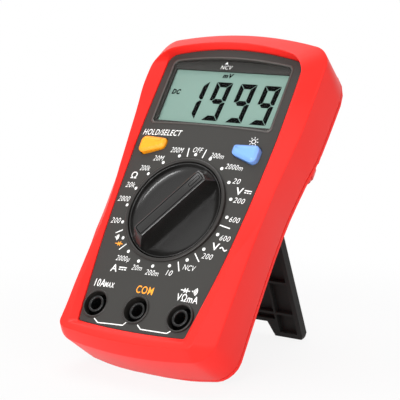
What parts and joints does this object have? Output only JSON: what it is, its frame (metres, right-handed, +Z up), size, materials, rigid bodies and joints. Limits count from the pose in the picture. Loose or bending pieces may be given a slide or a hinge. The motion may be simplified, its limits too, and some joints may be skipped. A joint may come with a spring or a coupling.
{
  "type": "digital multimeter",
  "caption": "Handheld digital multimeter on its fold-out tilt stand, with a rotary range dial, a display, sprung keys and shrouded probe jacks.",
  "frame": {"origin": "centre of the bounding box's base, on the surface that the lower rear edge and the stand's foot stand on", "axes": "+Z up, the leaned-back face looks towards -Y, +X to the right as the face is read"},
  "size_m": [0.077, 0.0952, 0.1182],
  "materials": {
    "red_case": "satin moulded plastic, bright red",
    "grey_panel": "fine matt dark warm grey",
    "clear_window": "clear polished acrylic",
    "display_glass": "grey-green liquid crystal cell",
    "black_plastic": "satin black",
    "stand_black": "matt black",
    "yellow_key": "smooth yellow-orange",
    "blue_key": "smooth light blue",
    "cream_plastic": "natural moulded plastic",
    "rubber_strip": "soft dark grey",
    "dark_component": "moulded component body",
    "blue_component": "moulded component body",
    "orange_coat": "dipped coating",
    "printed_skin": "smooth plain sleeve on a metal can",
    "board_laminate": "green solder mask on laminate",
    "fuse_glass": "clear tube",
    "brass": "bright machined or stamped",
    "steel": "zinc-plated"
  },
  "bodies": {
    "case": {"battery_cell_1": "printed_skin", "battery_cell_2": "printed_skin", "battery_door": "red_case", "battery_door_screw": "steel", "battery_link_plate": "steel", "battery_link_spring": "steel", "battery_minus_plate": "steel", "battery_minus_spring": "steel", "battery_plus_plate": "steel", "board_screw_1": "steel", "board_screw_2": "steel", "board_screw_3": "steel", "buzzer": "dark_component", "calibration_trimmer": "blue_component", "case_screw_1": "steel", "case_screw_2": "steel", "case_screw_3": "steel", "case_screw_4": "steel", "circuit_board": "board_laminate", "contact_strip": "rubber_strip", "display_window": "clear_window", "field_sensor_plate": "brass", "filter_capacitor": "printed_skin", "front_case": "red_case", "front_panel": "grey_panel", "fuse_10_amp": "fuse_glass", "fuse_10_amp_lower_clip": "brass", "fuse_10_amp_upper_clip": "brass", "fuse_milliamp": "fuse_glass", "fuse_milliamp_lower_clip": "brass", "fuse_milliamp_upper_clip": "brass", "hold_switch_body": "dark_component", "jack_block": "black_plastic", "lcd_frame": "black_plastic", "lcd_glass": "display_glass", "light_guide": "cream_plastic", "light_switch_body": "dark_component", "measuring_chip": "dark_component", "protection_thermistor": "orange_coat", "rear_cover": "red_case", "shunt_wire": "brass", "socket_10_amp": "brass", "socket_common": "brass", "socket_volt_ohm": "brass"},
    "dial": {"dial_knob": "black_plastic", "switch_rotor": "cream_plastic", "detent_ball_1": "steel", "detent_ball_2": "steel", "detent_spring_1": "steel", "detent_spring_2": "steel", "wiper_contact_1": "brass", "wiper_contact_2": "brass", "wiper_contact_3": "brass"},
    "hold_key": {"hold_button": "yellow_key", "hold_switch_plunger": "cream_plastic"},
    "light_key": {"light_button": "blue_key", "light_switch_plunger": "cream_plastic"},
    "stand": {"tilt_stand": "stand_black"}
  },
  "joints": [
    {"name": "dial_turn", "type": "hinge", "parent": "case", "child": "dial", "pos_m": [0, -0.0151, 0.05808], "axis": [0, -0.8161, 0.5779], "continuous": true},
    {"name": "hold_key_press", "type": "slide", "parent": "case", "child": "hold_key", "axis": [0, 0.8161, -0.5779], "range_m": [0, 0.0008], "stiffness_N_per_m": 1500, "springref_m": -0.0005},
    {"name": "light_key_press", "type": "slide", "parent": "case", "child": "light_key", "axis": [0, 0.8161, -0.5779], "range_m": [0, 0.0008], "stiffness_N_per_m": 1500, "springref_m": -0.0005},
    {"name": "stand_fold", "type": "hinge", "parent": "case", "child": "stand", "pos_m": [0, 0.02054, 0.05796], "axis": [-1, 0, 0], "range_deg": [0, 56]}
  ]
}
